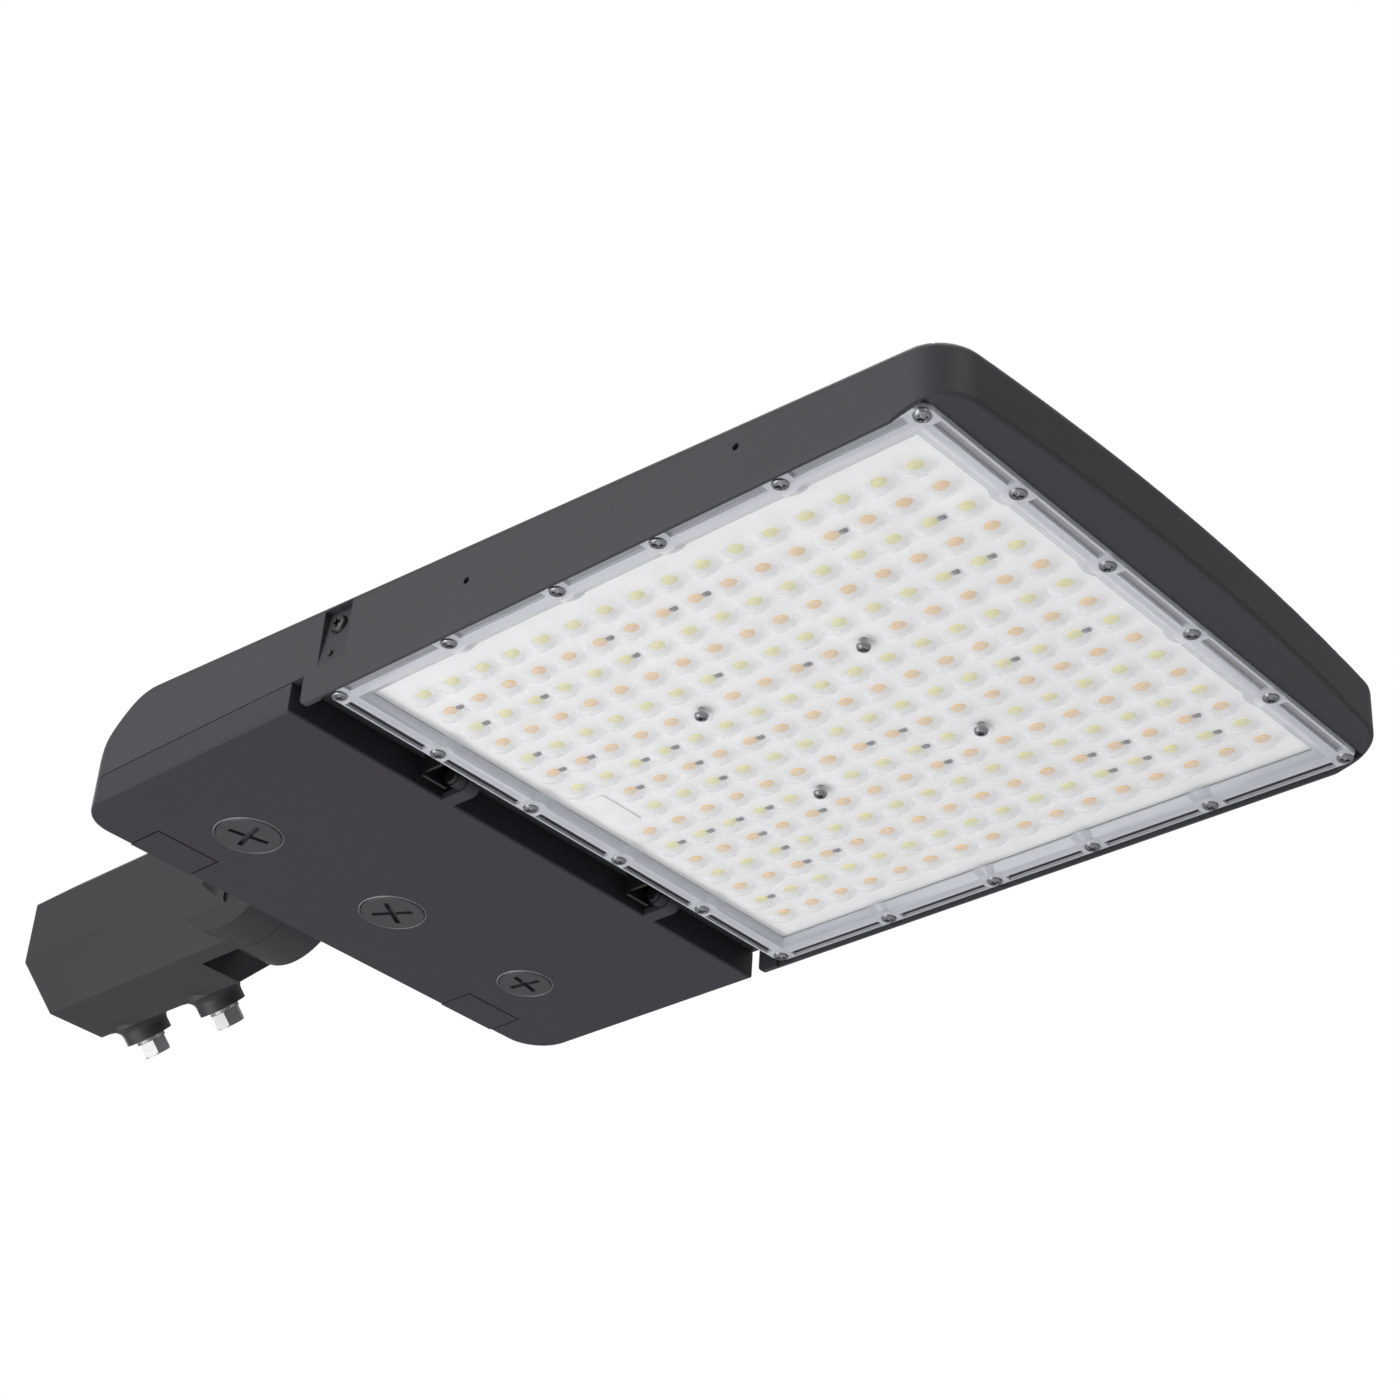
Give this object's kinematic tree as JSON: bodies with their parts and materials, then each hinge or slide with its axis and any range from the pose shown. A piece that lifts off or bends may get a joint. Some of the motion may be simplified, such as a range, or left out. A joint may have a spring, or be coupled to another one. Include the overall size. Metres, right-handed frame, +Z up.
{
  "type": "shoebox area light",
  "caption": "Slim pole-mounted LED area light with a tilting slip-fitter arm, a flat lensed underside, a hinged gear door with finger latches and screwed port plugs.",
  "frame": {"origin": "on the axis of the tenon bore, at the sleeve's mouth", "axes": "+X from the pole towards the lamp's nose, +Y to the side the set bolts lean to, +Z up; the lens faces -Z"},
  "size_m": [0.695, 0.2992, 0.0869],
  "materials": {
    "casting_paint": "satin",
    "bright_steel": "satin",
    "clear_lens": "clear",
    "white_silicone": "matte",
    "black_rubber": "matte",
    "board_white": "satin",
    "led_cool": "gloss",
    "led_warm": "gloss",
    "black_plastic": "matte",
    "white_plastic": "matte",
    "driver_can": "satin"
  },
  "bodies": {
    "sleeve": {"slip_fitter": "casting_paint", "pivot_bolt": "bright_steel", "pivot_nut": "bright_steel", "tooth_washer": "bright_steel", "wire_grommet": "black_rubber"},
    "clamp_outer": {"set_bolt_outer": "bright_steel"},
    "clamp_inner": {"set_bolt_inner": "bright_steel"},
    "luminaire": {"housing": "casting_paint", "mounting_arm": "casting_paint", "arm_gasket": "black_rubber", "arm_bolts": "bright_steel", "entry_bush": "black_rubber", "lens_cover": "clear_lens", "lens_gasket": "white_silicone", "rim_screws": "bright_steel", "board_screws": "bright_steel", "led_board": "board_white", "led_chips_cool": "led_cool", "led_chips_warm": "led_warm", "hinge_brackets": "bright_steel", "hinge_pins": "bright_steel", "hinge_screws": "bright_steel", "led_driver": "driver_can", "driver_screws": "bright_steel", "switch_bracket": "bright_steel", "bracket_screws": "bright_steel", "power_selector": "black_plastic", "colour_selector": "black_plastic", "sensor_socket": "black_plastic", "surge_protector": "white_plastic", "terminal_block": "white_plastic", "ground_screw": "bright_steel", "led_lead": "black_rubber", "supply_lead": "black_rubber", "side_screws": "bright_steel", "side_pins": "bright_steel"},
    "door": {"door": "casting_paint", "door_gasket": "black_rubber", "latch_pin_near": "bright_steel", "latch_pin_far": "bright_steel"},
    "near_latch": {"latch_near": "casting_paint"},
    "far_latch": {"latch_far": "casting_paint"},
    "power_port": {"power_plug": "black_plastic", "power_plug_seal": "black_rubber"},
    "colour_port": {"colour_plug": "black_plastic", "colour_plug_seal": "black_rubber"},
    "sensor_port": {"sensor_plug": "black_plastic", "sensor_plug_seal": "black_rubber"},
    "power_dial": {"power_knob": "white_plastic"},
    "colour_dial": {"colour_knob": "white_plastic"}
  },
  "joints": [
    {"name": "knuckle_tilt", "type": "hinge", "parent": "sleeve", "child": "luminaire", "pos_m": [0.152, 0, 0], "axis": [0, 1, 0], "range_deg": [-45, 90]},
    {"name": "outer_clamp_screw", "type": "slide", "parent": "sleeve", "child": "clamp_outer", "axis": [0, 0.7071, -0.7071], "range_m": [0, 0.012]},
    {"name": "inner_clamp_screw", "type": "slide", "parent": "sleeve", "child": "clamp_inner", "axis": [0, 0.7071, -0.7071], "range_m": [0, 0.012]},
    {"name": "door_swing", "type": "hinge", "parent": "luminaire", "child": "door", "pos_m": [0.3515, 0, -0.0423], "axis": [0, -1, 0], "range_deg": [0, 90]},
    {"name": "near_latch_press", "type": "hinge", "parent": "door", "child": "near_latch", "pos_m": [0.205, -0.0985, -0.0407], "axis": [0, 1, 0], "range_deg": [0, 20], "stiffness_Nm_per_rad": 0.2},
    {"name": "far_latch_press", "type": "hinge", "parent": "door", "child": "far_latch", "pos_m": [0.205, 0.0985, -0.0407], "axis": [0, 1, 0], "range_deg": [0, 20], "stiffness_Nm_per_rad": 0.2},
    {"name": "power_plug_pull", "type": "slide", "parent": "door", "child": "power_port", "axis": [0, 0, -1], "range_m": [0, 0.012]},
    {"name": "colour_plug_pull", "type": "slide", "parent": "door", "child": "colour_port", "axis": [0, 0, -1], "range_m": [0, 0.012]},
    {"name": "sensor_plug_pull", "type": "slide", "parent": "door", "child": "sensor_port", "axis": [0, 0, -1], "range_m": [0, 0.012]},
    {"name": "power_select", "type": "hinge", "parent": "luminaire", "child": "power_dial", "pos_m": [0.2445, -0.089, -0.03], "axis": [0, 0, -1], "range_deg": [0, 90]},
    {"name": "colour_select", "type": "hinge", "parent": "luminaire", "child": "colour_dial", "pos_m": [0.2445, 0, -0.03], "axis": [0, 0, -1], "range_deg": [0, 60]}
  ]
}
